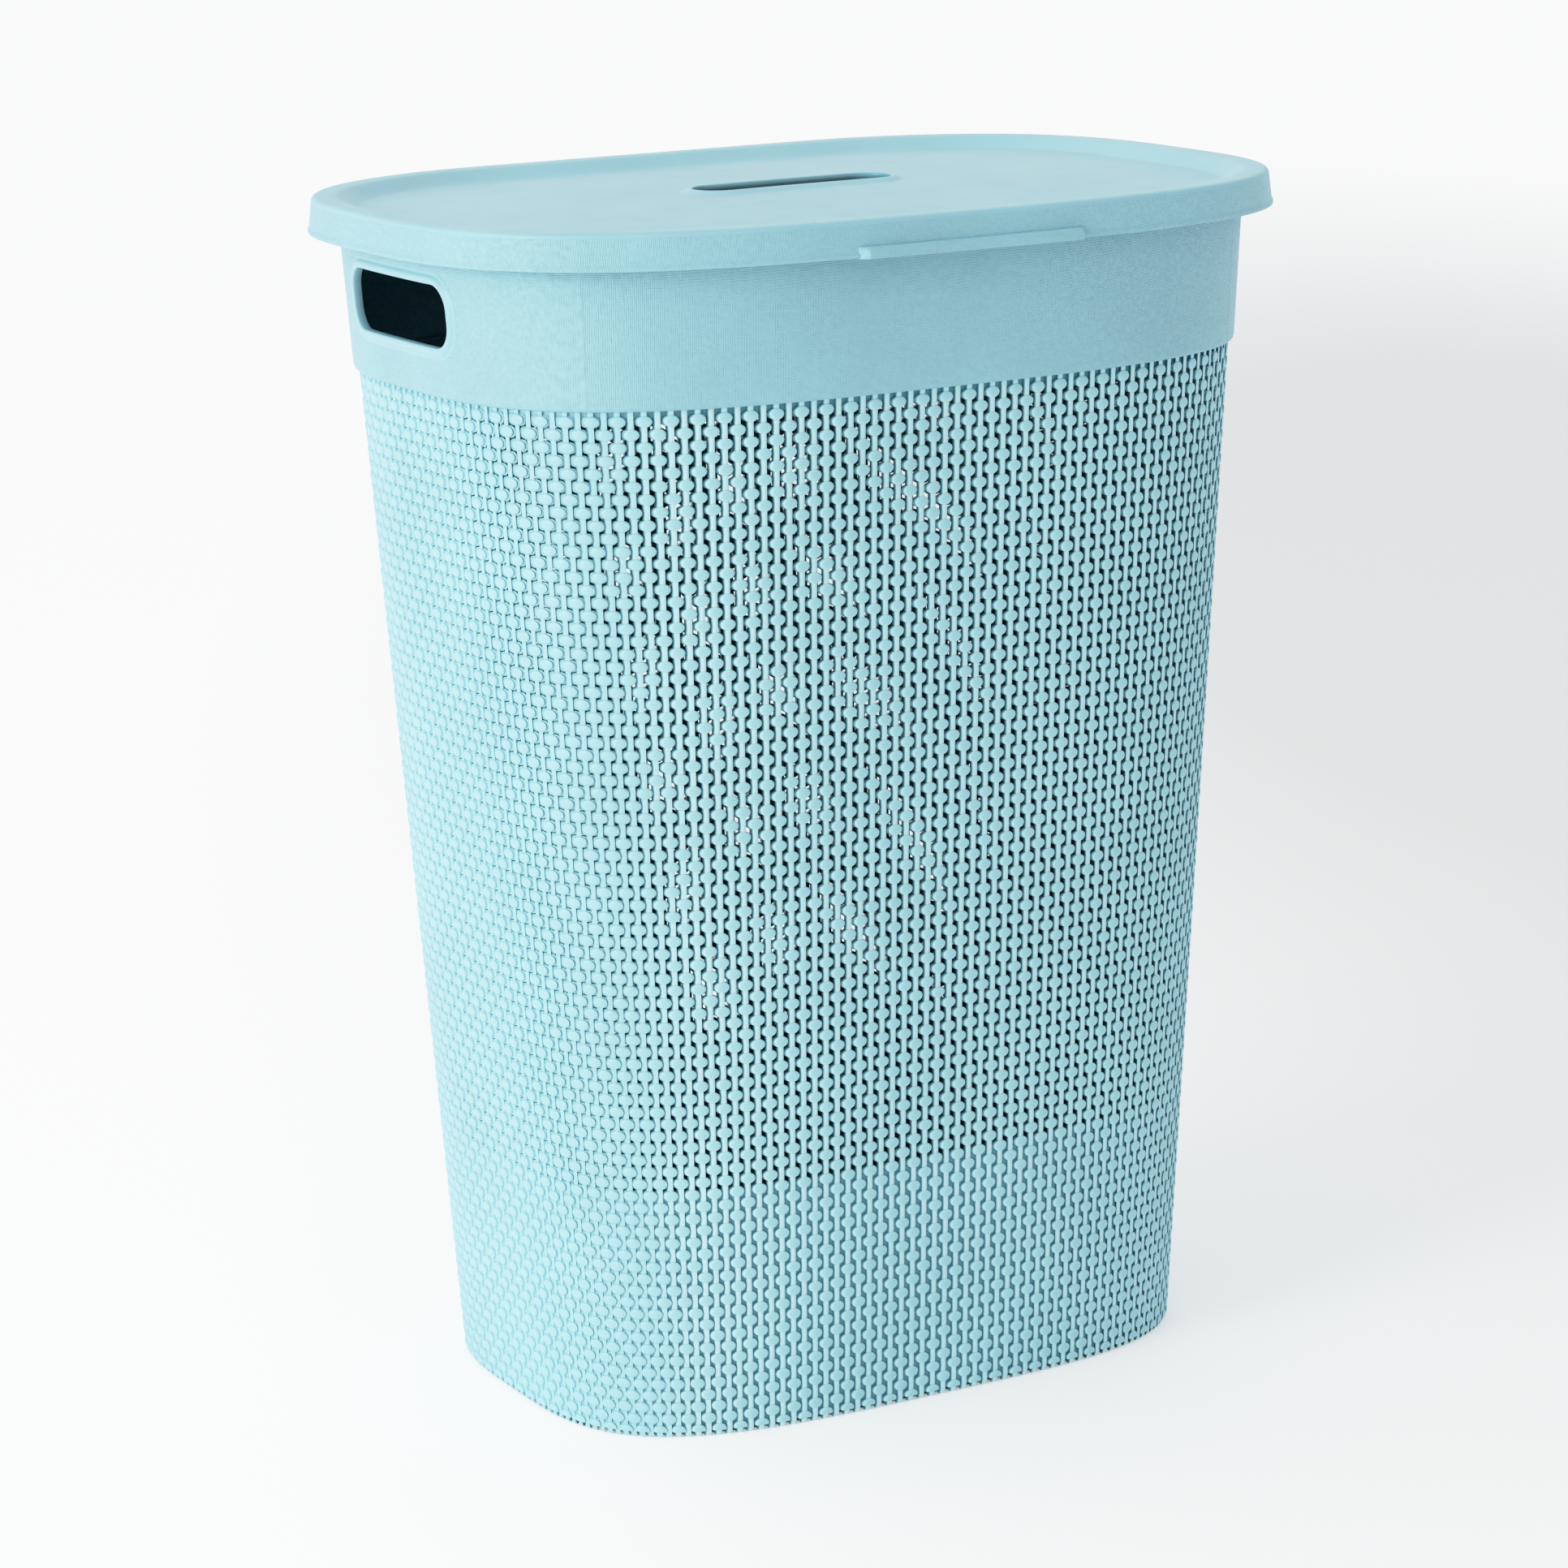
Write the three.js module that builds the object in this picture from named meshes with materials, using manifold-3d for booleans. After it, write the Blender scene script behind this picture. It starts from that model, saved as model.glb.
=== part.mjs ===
// A laundry hamper with a hinged lid. The tub is a tapered oval bin with a woven-look wall, a smooth
// collar with a handle opening in each end, and a raised floor. The lid has a raised rim, a skirt that
// covers the tub's mouth, a hand slot and a lifting tab, and it turns on two hinges along its straight
// back edge. Millimetres, +Z up, the front faces -Y, and the origin is the bottom centre of the whole.
import * as THREE from "three";
import { ParametricGeometry } from "three/addons/geometries/ParametricGeometry.js";
import { mergeVertices } from "three/addons/utils/BufferGeometryUtils.js";
import Module from "manifold-3d";

const wasm = await Module();
wasm.setup();

// Driving sizes
const TOTAL_HEIGHT = 615;
const LID_SKIRT_HEIGHT = 18;
const COLLAR_BOTTOM = 528;
const BOTTOM_OVAL = { halfLength: 183, halfDepth: 126.3, power: 3.45 };
const SHOULDER_OVAL = { halfLength: 217.8, halfDepth: 155.5, power: 3.15 };
const LID_OVERHANG = 22.7;
const LID_BACK_EDGE = 171;

const FIT_GAP = 0.3;
const ROUND_STEPS = 60;
const WALL = 3.2;
const SHELL = 2.4;

// Tub details
const COLLAR_STEP = 2.5;
const COLLAR_TOP = 603;
const RIM_TOP = 612.3;
const RIM_FLANGE = 5.5;
const FOOT_LEDGE = 7;
const LEDGE_DEPTH = 8.2;
const FOOT_EASE = 0.8;
const FLOOR_RISE = 4;
const HANDLE = { length: 106, height: 31, centre: 568.5, corner: 12, frame: 5.5, proud: 1.6 };

// Lid details
const SKIRT_BOTTOM = TOTAL_HEIGHT - LID_SKIRT_HEIGHT;
const SKIRT_TOP = TOTAL_HEIGHT - 4;
const SKIRT_LEAN = 2;
const RIM_WIDTH = 15;
const PANEL_INSET = 27;
const PANEL_DROP = 6;
const PANEL_CROWN = 3.2;
const SLOT = { length: 112, width: 28, frame: 4.5, proud: 2 };
const TAB = { length: 128, height: 5.8, proud: 3.4, below: 0.4 };

// Hinges
const HINGE = { spread: 75, y: 167.5, z: SKIRT_BOTTOM - 5.5 };
const PIN_RADIUS = 2;
const CLIP_OUTER = 4.2;
const CLIP_WIDTH = 16;
const CLIP_MOUTH = Math.PI * 0.55;
const CHEEK_RADIUS = 4.5;
const CHEEK_WIDTH = 4;

const PLASTIC_COLOUR = 0x9fcad3;

// Small helpers

const signedPower = (value, power) => Math.sign(value) * Math.abs(value) ** power;

// A point on a rounded oval at an angle, moved outwards by an offset along the oval's normal.
function ovalPoint({ halfLength, halfDepth, power }, angle, offset) {
  const across = signedPower(Math.cos(angle), 2 / power);
  const along = signedPower(Math.sin(angle), 2 / power);
  const normal = new THREE.Vector2(
    signedPower(across, power - 1) / halfLength,
    signedPower(along, power - 1) / halfDepth,
  );
  normal.setLength(offset);
  return normal.add(new THREE.Vector2(halfLength * across, halfDepth * along));
}

// The tub's outline tapers evenly from the shoulder down to the bottom.
function tubOutline(angle, height, offset) {
  const share = height / COLLAR_BOTTOM;
  const oval = {};
  for (const key of ["halfLength", "halfDepth", "power"]) {
    oval[key] = THREE.MathUtils.lerp(BOTTOM_OVAL[key], SHOULDER_OVAL[key], share);
  }
  return ovalPoint(oval, angle, offset);
}

// The lid's outline follows the tub's shoulder, cut straight along the back, where the hinges are.
function lidOutline(angle, height, offset) {
  const point = ovalPoint(SHOULDER_OVAL, angle, LID_OVERHANG + offset);
  point.y = Math.min(point.y, LID_BACK_EDGE + offset);
  return point;
}

// A hoop carries a closed profile of [outward offset, height] points round an outline.
// The profile runs up the outer side and down the inner side.
function hoop(outline, profile) {
  const surface = (u, v, target) => {
    const [offset, height] = profile[Math.round(v * profile.length) % profile.length];
    const point = outline(u * 2 * Math.PI, height, offset);
    target.set(point.x, point.y, height);
  };
  return new ParametricGeometry(surface, ROUND_STEPS, profile.length);
}

// A plate fills an outline. Its profile of [share of the way out, outward offset, height] points
// runs from the centre of the underside out to the edge and back to the centre of the top.
function plate(outline, profile) {
  const surface = (u, v, target) => {
    const [share, offset, height] = profile[Math.round(v * (profile.length - 1))];
    const point = outline(u * 2 * Math.PI, height, offset).multiplyScalar(share);
    target.set(point.x, point.y, height);
  };
  return new ParametricGeometry(surface, ROUND_STEPS, profile.length - 1);
}

function solidOf(geometry) {
  const bare = geometry.clone();
  bare.deleteAttribute("normal");
  bare.deleteAttribute("uv");
  const merged = mergeVertices(bare, 1e-4);
  return new wasm.Manifold(
    new wasm.Mesh({
      numProp: 3,
      vertProperties: merged.attributes.position.array,
      triVerts: new Uint32Array(merged.index.array),
    }),
  );
}

function geometryOf(solid) {
  const mesh = solid.getMesh();
  const geometry = new THREE.BufferGeometry();
  geometry.setAttribute("position", new THREE.BufferAttribute(mesh.vertProperties, 3));
  geometry.setIndex(new THREE.BufferAttribute(mesh.triVerts, 1));
  geometry.computeVertexNormals();
  return geometry;
}

const cut = (body, ...tools) =>
  geometryOf(tools.reduce((rest, tool) => rest.subtract(solidOf(tool)), solidOf(body)));
const common = (one, other) => geometryOf(solidOf(one).intersect(solidOf(other)));
const joined = (one, other) => geometryOf(solidOf(one).add(solidOf(other)));

function roundedRectangle(length, height, corner, path = new THREE.Shape()) {
  const x = length / 2 - corner;
  const y = height / 2 - corner;
  path.absarc(x, y, corner, 0, Math.PI / 2);
  path.absarc(-x, y, corner, Math.PI / 2, Math.PI);
  path.absarc(-x, -y, corner, Math.PI, Math.PI * 1.5);
  path.absarc(x, -y, corner, Math.PI * 1.5, Math.PI * 2);
  path.closePath();
  return path;
}

// A block of a shape drawn in the YZ plane, running from one x to another.
function blockAlongX(shape, fromX, toX, curveSegments = 6) {
  const block = new THREE.ExtrudeGeometry(shape, {
    depth: toX - fromX,
    bevelEnabled: false,
    curveSegments,
  });
  block.rotateX(Math.PI / 2);
  block.rotateZ(Math.PI / 2);
  return block.translate(fromX, 0, 0);
}

const parts = new THREE.Group();

function addPart(name, geometry) {
  const material = new THREE.MeshStandardMaterial({ color: PLASTIC_COLOUR, roughness: 0.5, metalness: 0 });
  const mesh = new THREE.Mesh(geometry, material);
  mesh.name = name;
  parts.add(mesh);
}

// Tub

// The wall stands on a flat foot with an eased lower edge, and a ledge inside it carries the floor.
function wovenWall() {
  return hoop(tubOutline, [
    [-FOOT_EASE, 0],
    [0, 3 * FOOT_EASE],
    [0, COLLAR_BOTTOM],
    [-WALL, COLLAR_BOTTOM],
    [-WALL, FOOT_LEDGE],
    [-LEDGE_DEPTH, FOOT_LEDGE],
    [-LEDGE_DEPTH, 0],
  ]);
}

function floorPanel() {
  const under = FOOT_LEDGE + FIT_GAP;
  const edge = -WALL - FIT_GAP;
  return plate(tubOutline, [
    [0, edge, under + FLOOR_RISE],
    [0.8, edge, under + FLOOR_RISE],
    [0.86, edge, under],
    [1, edge, under],
    [1, edge, under + SHELL],
    [0.84, edge, under + SHELL],
    [0.78, edge, under + SHELL + FLOOR_RISE],
    [0, edge, under + SHELL + FLOOR_RISE],
  ]);
}

// The opening through each end of the collar, as a block that crosses the whole tub.
function handleBlock(grow) {
  const { length, height, centre, corner } = HANDLE;
  const shape = roundedRectangle(length + 2 * grow, height + 2 * grow, corner + grow);
  const reach = SHOULDER_OVAL.halfLength * 1.2;
  return blockAlongX(shape, -reach, reach).translate(0, 0, centre);
}

function collarBand() {
  const bottom = COLLAR_BOTTOM + FIT_GAP;
  const inside = COLLAR_STEP - SHELL;
  const band = hoop(tubOutline, [
    [COLLAR_STEP - 1, bottom],
    [COLLAR_STEP, bottom + 1.5],
    [COLLAR_STEP, COLLAR_TOP],
    [inside, COLLAR_TOP],
    [inside, bottom + 5],
    [-WALL, bottom + 2.5],
    [-WALL, bottom],
  ]);
  return cut(band, handleBlock(HANDLE.frame + FIT_GAP));
}

// The tub's mouth has a flange turned outwards, which the lid's hollow rim sits on.
function tubRim() {
  const bottom = COLLAR_TOP + FIT_GAP;
  const inside = COLLAR_STEP - SHELL;
  return hoop(tubOutline, [
    [COLLAR_STEP, bottom],
    [COLLAR_STEP, RIM_TOP - SHELL],
    [RIM_FLANGE, RIM_TOP - SHELL],
    [RIM_FLANGE, RIM_TOP],
    [inside + 2.2, RIM_TOP],
    [inside, RIM_TOP - 1.8],
    [inside, bottom],
  ]);
}

// A raised frame lines each handle opening. side is -1 for the left end and 1 for the right.
function handleBezel(side) {
  const { length, height, centre, corner, frame, proud } = HANDLE;
  const shape = roundedRectangle(length + 2 * frame, height + 2 * frame, corner + frame);
  shape.holes.push(roundedRectangle(length, height, corner, new THREE.Path()));
  const reach = side * SHOULDER_OVAL.halfLength;
  const block = blockAlongX(shape, Math.min(0.5 * reach, 1.2 * reach), Math.max(0.5 * reach, 1.2 * reach));
  const low = centre - height;
  const high = centre + height;
  const skin = hoop(tubOutline, [
    [COLLAR_STEP + proud, low],
    [COLLAR_STEP + proud, high],
    [COLLAR_STEP - SHELL - 1, high],
    [COLLAR_STEP - SHELL - 1, low],
  ]);
  return common(block.translate(0, 0, centre), skin);
}

// Each bracket is a web on the collar's back with two cheeks that hold the hinge pin.
function hingeBracket(side) {
  const cheekSpan = CLIP_WIDTH + 2 + 2 * CHEEK_WIDTH;
  const middle = side * HINGE.spread;
  const lug = new THREE.Shape();
  lug.moveTo(HINGE.y - 12, HINGE.z - CHEEK_RADIUS);
  lug.absarc(HINGE.y, HINGE.z, CHEEK_RADIUS, -Math.PI / 2, Math.PI / 2);
  lug.lineTo(HINGE.y - 12, HINGE.z + CHEEK_RADIUS);
  lug.closePath();
  const block = blockAlongX(lug, middle - cheekSpan / 2, middle + cheekSpan / 2);
  const clipRoom = new THREE.BoxGeometry(CLIP_WIDTH + 2, 20, 20);
  clipRoom.translate(middle, HINGE.y - CLIP_OUTER - FIT_GAP + 10, HINGE.z);
  const pinHole = new THREE.Shape();
  pinHole.absarc(HINGE.y, HINGE.z, PIN_RADIUS + FIT_GAP, 0, Math.PI * 2);
  const bore = blockAlongX(pinHole, middle - cheekSpan, middle + cheekSpan, 16);
  const tub = hoop(tubOutline, [
    [COLLAR_STEP + FIT_GAP, COLLAR_BOTTOM],
    [COLLAR_STEP + FIT_GAP, COLLAR_TOP],
    [-20, COLLAR_TOP],
    [-20, COLLAR_BOTTOM],
  ]);
  return cut(block, clipRoom, bore, tub);
}

function hingePin(side) {
  const length = CLIP_WIDTH + 2 + 2 * CHEEK_WIDTH;
  const circle = new THREE.Shape();
  circle.absarc(HINGE.y, HINGE.z, PIN_RADIUS, 0, Math.PI * 2);
  const middle = side * HINGE.spread;
  return blockAlongX(circle, middle - length / 2, middle + length / 2, 16);
}

// Lid

function lidPanel() {
  const edgeTop = TOTAL_HEIGHT - PANEL_DROP;
  const crown = (share) => edgeTop + PANEL_CROWN * (1 - share * share);
  const edge = -PANEL_INSET - FIT_GAP;
  const shares = [0, 0.35, 0.6, 0.8, 1];
  const under = shares.map((share) => [share, edge, crown(share) - SHELL]);
  const top = shares.map((share) => [share, edge, crown(share)]);
  const panel = plate(lidOutline, [...under, ...top.reverse()]);
  return cut(panel, slotBlock(SLOT.frame + FIT_GAP));
}

function slotBlock(grow) {
  const width = SLOT.width + 2 * grow;
  const block = new THREE.ExtrudeGeometry(roundedRectangle(SLOT.length + 2 * grow, width, width / 2), {
    depth: 40,
    bevelEnabled: false,
    curveSegments: 8,
  });
  return block.translate(0, 0, TOTAL_HEIGHT - 30);
}

// A raised bead runs round the hand slot.
function slotBezel() {
  const { length, width, frame, proud } = SLOT;
  const shape = roundedRectangle(length + 2 * frame, width + 2 * frame, width / 2 + frame);
  shape.holes.push(roundedRectangle(length, width, width / 2, new THREE.Path()));
  const under = TOTAL_HEIGHT - PANEL_DROP + PANEL_CROWN - SHELL - 0.6;
  const bead = new THREE.ExtrudeGeometry(shape, {
    depth: SHELL + 0.6 + proud,
    bevelEnabled: false,
    curveSegments: 8,
  });
  return bead.translate(0, 0, under);
}

// The raised rim is a hollow channel over the tub's mouth, sloping in to the panel.
function lidRim() {
  const under = TOTAL_HEIGHT - SHELL;
  const panelTop = TOTAL_HEIGHT - PANEL_DROP;
  return hoop(lidOutline, [
    [-SKIRT_LEAN, SKIRT_TOP + FIT_GAP],
    [-SKIRT_LEAN - 0.7, TOTAL_HEIGHT - 1.2],
    [-SKIRT_LEAN - 2.2, TOTAL_HEIGHT],
    [-RIM_WIDTH, TOTAL_HEIGHT],
    [-RIM_WIDTH - 2.2, TOTAL_HEIGHT - 0.8],
    [-PANEL_INSET, panelTop],
    [-PANEL_INSET, panelTop - SHELL],
    [-RIM_WIDTH - 3.4, under - 1.6],
    [-RIM_WIDTH - 1.2, under],
    [-SKIRT_LEAN - 2.8, under],
    [-SKIRT_LEAN - SHELL, SKIRT_TOP + FIT_GAP],
  ]);
}

function lidSkirt() {
  return hoop(lidOutline, [
    [-0.3, SKIRT_BOTTOM],
    [0, SKIRT_BOTTOM + 0.5],
    [0, SKIRT_BOTTOM + 1.6],
    [-0.8, SKIRT_BOTTOM + 2.6],
    [-SKIRT_LEAN, SKIRT_TOP],
    [-SKIRT_LEAN - SHELL, SKIRT_TOP],
    [-0.8 - SHELL, SKIRT_BOTTOM + 2.6],
    [-SHELL, SKIRT_BOTTOM],
  ]);
}

// The lifting tab is a ledge along the front of the skirt's lower edge, with chamfered ends.
function liftingTab() {
  const low = SKIRT_BOTTOM - TAB.below;
  const high = low + TAB.height;
  const ledge = hoop(lidOutline, [
    [FIT_GAP, low],
    [TAB.proud, low],
    [TAB.proud, high - 0.8],
    [TAB.proud - 0.8, high],
    [FIT_GAP, high],
  ]);
  const front = SHOULDER_OVAL.halfDepth + LID_OVERHANG;
  const ends = new THREE.Shape();
  ends.moveTo(-TAB.length / 2, -front + 10);
  ends.lineTo(TAB.length / 2, -front + 10);
  ends.lineTo(TAB.length / 2, -front);
  ends.lineTo(TAB.length / 2 - TAB.proud, -front - TAB.proud - 1);
  ends.lineTo(-TAB.length / 2 + TAB.proud, -front - TAB.proud - 1);
  ends.lineTo(-TAB.length / 2, -front);
  ends.closePath();
  const block = new THREE.ExtrudeGeometry(ends, { depth: 40, bevelEnabled: false });
  return common(ledge, block.translate(0, 0, SKIRT_BOTTOM - 20));
}

// Each clip is an open ring that snaps over its pin, on an arm below the skirt's back edge.
function hingeClip(side) {
  const start = side * HINGE.spread - CLIP_WIDTH / 2;
  const end = start + CLIP_WIDTH;
  const inner = PIN_RADIUS + FIT_GAP;
  const mouthStart = -Math.PI / 2 - CLIP_MOUTH / 2;
  const mouthEnd = mouthStart + CLIP_MOUTH;
  const ring = new THREE.Shape();
  ring.absarc(HINGE.y, HINGE.z, CLIP_OUTER, mouthEnd, mouthStart + 2 * Math.PI, false);
  ring.absarc(HINGE.y, HINGE.z, inner, mouthStart + 2 * Math.PI, mouthEnd, true);
  ring.closePath();
  const armFront = LID_BACK_EDGE - SHELL;
  const armBack = LID_BACK_EDGE - FIT_GAP;
  const arm = new THREE.Shape();
  arm.moveTo(armFront, HINGE.z + inner);
  arm.lineTo(armBack, HINGE.z + inner);
  arm.lineTo(armBack, SKIRT_BOTTOM - FIT_GAP);
  arm.lineTo(armFront, SKIRT_BOTTOM - FIT_GAP);
  arm.closePath();
  return joined(blockAlongX(ring, start, end, 12), blockAlongX(arm, start, end));
}

addPart("woven_wall", wovenWall());
addPart("floor_panel", floorPanel());
addPart("collar_band", collarBand());
addPart("tub_rim", tubRim());
addPart("lid_panel", lidPanel());
addPart("lid_rim", lidRim());
addPart("lid_skirt", lidSkirt());
addPart("slot_bezel", slotBezel());
addPart("lifting_tab", liftingTab());
for (const [name, side] of [["left", -1], ["right", 1]]) {
  addPart(`handle_bezel_${name}`, handleBezel(side));
  addPart(`hinge_bracket_${name}`, hingeBracket(side));
  addPart(`hinge_pin_${name}`, hingePin(side));
  addPart(`hinge_clip_${name}`, hingeClip(side));
}

// The tab reaches further forwards than the hinges do backwards, so the tub's axis sits behind the middle.
const frontReach = SHOULDER_OVAL.halfDepth + LID_OVERHANG + TAB.proud;
const backReach = HINGE.y + CHEEK_RADIUS;
parts.position.y = (frontReach - backReach) / 2;

export default parts;
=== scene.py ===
import math

import bpy
import numpy as np
from mathutils import Matrix, Vector


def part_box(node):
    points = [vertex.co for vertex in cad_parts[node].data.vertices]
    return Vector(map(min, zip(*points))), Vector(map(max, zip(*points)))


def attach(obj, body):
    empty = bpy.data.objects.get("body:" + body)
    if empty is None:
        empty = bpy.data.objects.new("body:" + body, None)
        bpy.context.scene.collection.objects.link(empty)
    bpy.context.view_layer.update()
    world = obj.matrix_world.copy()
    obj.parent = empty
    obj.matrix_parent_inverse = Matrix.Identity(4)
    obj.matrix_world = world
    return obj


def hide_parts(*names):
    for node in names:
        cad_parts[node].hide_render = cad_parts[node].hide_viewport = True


# The looks of a moulded laundry hamper with a hinged lid. Shapes are worked out in millimetres about the
# tub's axis, with the front facing -Y, and become metres in the row frame when a mesh is made.

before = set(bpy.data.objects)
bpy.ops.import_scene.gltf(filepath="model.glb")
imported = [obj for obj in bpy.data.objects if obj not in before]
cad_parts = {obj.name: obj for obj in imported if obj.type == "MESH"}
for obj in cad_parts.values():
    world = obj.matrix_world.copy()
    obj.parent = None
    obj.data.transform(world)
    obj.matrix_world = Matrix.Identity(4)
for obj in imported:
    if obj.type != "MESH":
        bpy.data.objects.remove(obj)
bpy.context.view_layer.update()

MM = 0.001
wall_low, wall_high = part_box("woven_wall")
AXIS = np.array([0.0, (wall_low.y + wall_high.y) / 2, 0.0])

# Outlines: half length, half depth and roundness power
FOOT_OVAL = np.array([183.0, 126.3, 3.45])
SHOULDER_OVAL = np.array([217.8, 155.5, 3.15])
SHOULDER_HEIGHT = 528.0
COLUMN_LEAN, COLUMN_SPREAD = 0.85, 0.0012
LID_OVERHANG = 22.7
LID_BACK_EDGE = 171.0
LID_BACK_ROUNDING = 5.0
LID_TOP = 615.0
COLUMN_STEP = 0.4

# The table of the tub's outline
OUTLINE_STEPS = 20001
TABLE_STEPS = 8
TABLE_HEIGHT_STEP = 6.0
TABLE_LOW = -12.0
TABLE_LEVELS = 106
TABLE_ROUNDS = 14

# The knitted relief
COLUMNS = 192
ROW_PITCH = 12.66
FIRST_ROW = (516.4, 522.73)
LAST_ROW = 2.0
BEAD_LOW = 3.0
RELIEF = 3.6
BEAD_SEGMENTS = 14
FOOT_CURVE = 2.4
FOOT_INSET = 0.8
SWING_START = math.radians(35)
SWING_POWER = 1.5
CLOSE_FROM, CLOSE_TO = math.radians(22), math.radians(60)
# Where and how much the painted shade is evened out towards the ends: the left end, facing the key light,
# more than the right
SHADE_FROM, SHADE_TO = math.radians(14), math.radians(44)
LEFT_EVENNESS, RIGHT_EVENNESS = 0.85, 0.35
EVEN_SHADE = 0.79
DARK_SHADE = 0.05
STRAND_END_SHADE = 0.5
WEAVE_SECTORS = 8
WEAVE_SHARP_ANGLE = 58.0

# The strands' section as [across, level, painted shade], and the heights of its copies
STRAND = [
    (-1.5, 0.0, 0.0), (-1.48, 2.3, 0.55), (-1.22, 2.6, 1.0), (0.0, 2.7, 1.0),
    (1.22, 2.6, 1.0), (1.48, 2.3, 0.55), (1.5, 0.0, 0.0),
]
STRAND_HEIGHTS = [0.0, 0.5, 1.2, 2.4, 60.0, 120.0, 190.0, 260.0, 330.0, 400.0, 470.0, 529.6]

# The sheets behind the relief, as [offset, height] from the wall's outline
SHEET_FRONT = -2.4
SHEET_RISE = 0.9
SHEET_STEP = 0.5
# The painted shade of the sheets' faces
SHEET_SHADE = 0.3
SHEET_BACK = -RELIEF - 0.05
SOLID_TOP = 129.0
LEDGE_DEPTH, LEDGE_TOP = 8.2, 7.0
HEM_FRONT = -3.0
HEM_BOTTOM = 523.5
HEM_TOP = SHOULDER_HEIGHT + 1.5

# The collar's section as [offset, height], and the hair lines where the mould parted
COLLAR_STEP = 2.5
COLLAR_SECTION = [
    (-3.2, 527.8), (0.9, 527.9), (1.7, 528.3), (2.25, 529.1), (COLLAR_STEP, 530.3), (COLLAR_STEP, 545.0),
    (COLLAR_STEP, 565.0), (COLLAR_STEP, 585.0), (COLLAR_STEP, 603.0), (2.6, 607.6), (3.0, 609.2),
    (3.8, 609.9), (5.3, 610.0), (5.6, 610.4), (5.6, 611.8), (5.2, 612.3), (2.3, 612.3), (0.9, 611.8),
    (0.1, 610.5), (0.1, 585.0), (0.1, 560.0), (0.1, 533.5), (-0.6, 531.6), (-3.2, 530.6),
]
PARTING_X = 181.0
PARTING_STEP = 0.01
SEAM_HALF_WIDTH = 0.05
SEAM_HEIGHT = 0.12

# The handle openings, and their frame's section as [growth of the opening, height above the collar]
HANDLE_LENGTH, HANDLE_HEIGHT, HANDLE_CORNER = 106.0, 31.0, 12.0
HANDLE_CENTRE = 568.5
HANDLE_CUT_GROWTH = 3.5
HANDLE_CUT_REACH = 260.0
HANDLE_FRAME = [
    (6.2, -0.4), (6.0, 0.02), (5.4, 0.08), (4.8, 0.25), (4.3, 0.55), (3.9, 0.9), (3.4, 1.25), (2.8, 1.5),
    (2.1, 1.6), (1.1, 1.6), (0.6, 1.46), (0.2, 1.1), (0.0, 0.6), (0.0, -2.8), (0.2, -3.25), (0.8, -3.4),
    (3.4, -3.4), (4.6, -3.2), (5.2, -2.6), (5.4, -1.4),
]

# The lid's panel, and the section of its skirt and rim as [offset, height]
PANEL_INSET = 27.4
PANEL_EDGE = LID_TOP - 6.0
PANEL_CROWN = 3.2
PANEL_THICKNESS = 2.4
PANEL_SHARES = [0.12, 0.25, 0.4, 0.55, 0.7, 0.82, 0.92, 0.98]
SKIRT_TOP = 612.7
SKIRT_FACING = 0.07
SKIRT_AND_RIM = [
    (-26.6, 606.7), (-18.8, 610.9), (-16.6, 612.2), (-14.5, 612.6), (-6.0, 612.6), (-4.9, 611.9),
    (-4.4, 610.4), (-3.9, 604.0), (-3.2, 599.0), (-2.6, 597.3), (-2.2, 597.0), (-0.6, 597.0),
    (-0.15, 597.15), (0.0, 597.6), (0.0, 598.5), (-0.15, 599.0), (-0.6, 599.6), (-0.8, 600.4),
    (-1.2, 604.0), (-2.0, 611.0), (-2.15, 612.6), (-2.5, 613.7), (-3.1, 614.4), (-4.0, 614.85),
    (-5.2, 615.0), (-9.0, 615.0), (-13.2, 615.0), (-14.6, 614.85), (-16.0, 614.4), (-17.6, 613.6),
    (-20.5, 612.05), (-23.5, 610.5), (-25.3, 609.65), (-26.6, 609.2), (-27.4, 609.05),
]

# The hand slot, and its bead's section as [growth of the slot, height above the panel]
SLOT_LENGTH, SLOT_WIDTH = 112.0, 28.0
SLOT_CUT_GROWTH = 2.5
SLOT_CUT_ENDS = (560.0, 640.0)
SLOT_BEAD = [
    (7.2, -0.5), (7.0, 0.0), (6.2, 0.1), (5.4, 0.38), (4.4, 0.85), (3.2, 1.4), (2.2, 1.78), (1.4, 1.98),
    (0.8, 2.0), (0.3, 1.85), (0.0, 1.45), (0.0, 0.0), (0.3, -0.5), (2.4, -2.6), (3.0, -3.2), (3.8, -3.1),
    (4.0, -2.0),
]

# The lifting tab and its section as [offset, height]
TAB_HALF_LENGTH = 64.0
TAB_CHAMFER, TAB_CHAMFER_POWER = 4.4, 0.9
TAB_END_STEPS = [0, 0.15, 0.5, 1.2, 2.2, 3.2, 3.9, 4.4, 5.2]
TAB_MIDDLE_STEPS, TAB_MIDDLE_INSET = 40, 6.0
TAB_ROOT = -1.2
TAB_SECTION = [
    (-1.6, 596.9), (TAB_ROOT, 596.6), (2.7, 596.6), (3.2, 596.75), (3.4, 597.2), (3.4, 599.9), (3.25, 600.35),
    (2.9, 600.8), (1.5, 601.9), (0.9, 602.2), (0.2, 602.35), (-1.6, 602.35),
]
FRONT_COLUMNS = np.arange(-12, 12, 0.05)
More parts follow.
